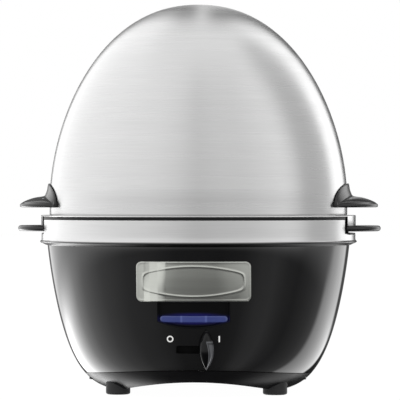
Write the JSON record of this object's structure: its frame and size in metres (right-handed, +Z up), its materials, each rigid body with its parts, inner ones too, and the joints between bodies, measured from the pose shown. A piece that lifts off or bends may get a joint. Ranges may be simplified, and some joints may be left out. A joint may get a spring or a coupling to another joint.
{
  "type": "egg cooker",
  "caption": "Electric egg cooker with a bowl-shaped base, a heating dish, a lift-out egg tray with side handles and a tall domed steel lid.",
  "frame": {"origin": "on the table under the middle of the base", "axes": "+Z up, the switch and nameplate face -Y, +X to the right seen from the front"},
  "size_m": [0.2198, 0.1914, 0.2327],
  "materials": {
    "lid_steel": "brushed round the axis",
    "rim_steel": "brushed round the rim",
    "badge_steel": "brushed and pressed",
    "plate_steel": "satin, pressed",
    "zinc_screws": "bright zinc plated",
    "gloss_shell": "gloss black, moulded",
    "knob_plastic": "semi-gloss black",
    "satin_black": "fine satin texture",
    "handle_plastic": "satin heat-proof plastic",
    "foot_rubber": "matte",
    "seal_silicone": "matte red silicone",
    "element_sheath": "oxidised",
    "white_ceramic": "glazed",
    "thermostat_body": "phenolic",
    "fuse_sleeve": "satin",
    "lens_blue": "translucent, moulded",
    "led_clear": "clear",
    "board_green": "solder mask",
    "parts_black": "moulded",
    "capacitor_sleeve": "shrink sleeve",
    "natural_nylon": "moulded",
    "legend_white": "pad printed",
    "wire_sleeve": "silicone sleeve"
  },
  "bodies": {
    "base": {"base_shell": "gloss_shell", "bottom_cover": "satin_black", "rubber_feet": "foot_rubber", "cover_screws": "zinc_screws", "rim_band": "rim_steel", "rim_collar": "satin_black", "collar_screws": "zinc_screws", "heating_plate": "plate_steel", "plate_seal": "seal_silicone", "plate_studs": "zinc_screws", "stud_nuts": "zinc_screws", "heating_element": "element_sheath", "element_bushings": "white_ceramic", "element_clamp": "plate_steel", "heat_shield": "plate_steel", "thermostat": "thermostat_body", "thermostat_bracket": "plate_steel", "thermostat_screws": "zinc_screws", "thermal_fuse": "fuse_sleeve", "fuse_clip": "plate_steel", "nameplate": "badge_steel", "nameplate_nuts": "zinc_screws", "indicator_bezel": "gloss_shell", "indicator_lens": "lens_blue", "indicator_leds": "led_clear", "control_board": "board_green", "board_screws": "zinc_screws", "buzzer": "parts_black", "board_capacitor": "capacitor_sleeve", "board_connector": "natural_nylon", "switch_legends": "legend_white", "switch_body": "parts_black", "switch_bracket": "parts_black", "bracket_screws": "zinc_screws", "cord_gland": "satin_black", "cord_clamp": "parts_black", "clamp_screws": "zinc_screws", "terminal_block": "white_ceramic", "inner_wires": "wire_sleeve"},
    "tray": {"tray_pan": "rim_steel", "tray_handle_left": "handle_plastic", "tray_handle_right": "handle_plastic", "tray_rivets": "zinc_screws"},
    "lid": {"lid_dome": "lid_steel", "lid_handle_left": "handle_plastic", "lid_handle_right": "handle_plastic", "lid_handle_plates": "plate_steel", "lid_handle_screws": "zinc_screws"},
    "switch": {"switch_stem": "natural_nylon", "switch_slider": "parts_black", "switch_knob": "knob_plastic"}
  },
  "joints": [
    {"name": "tray_lift", "type": "slide", "parent": "base", "child": "tray", "axis": [0, 0, 1], "range_m": [0, 0.06]},
    {"name": "lid_lift", "type": "slide", "parent": "tray", "child": "lid", "axis": [0, 0, 1], "range_m": [0, 0.13]},
    {"name": "switch_slide", "type": "slide", "parent": "base", "child": "switch", "axis": [1, 0, 0], "range_m": [-0.0144, 0]}
  ]
}
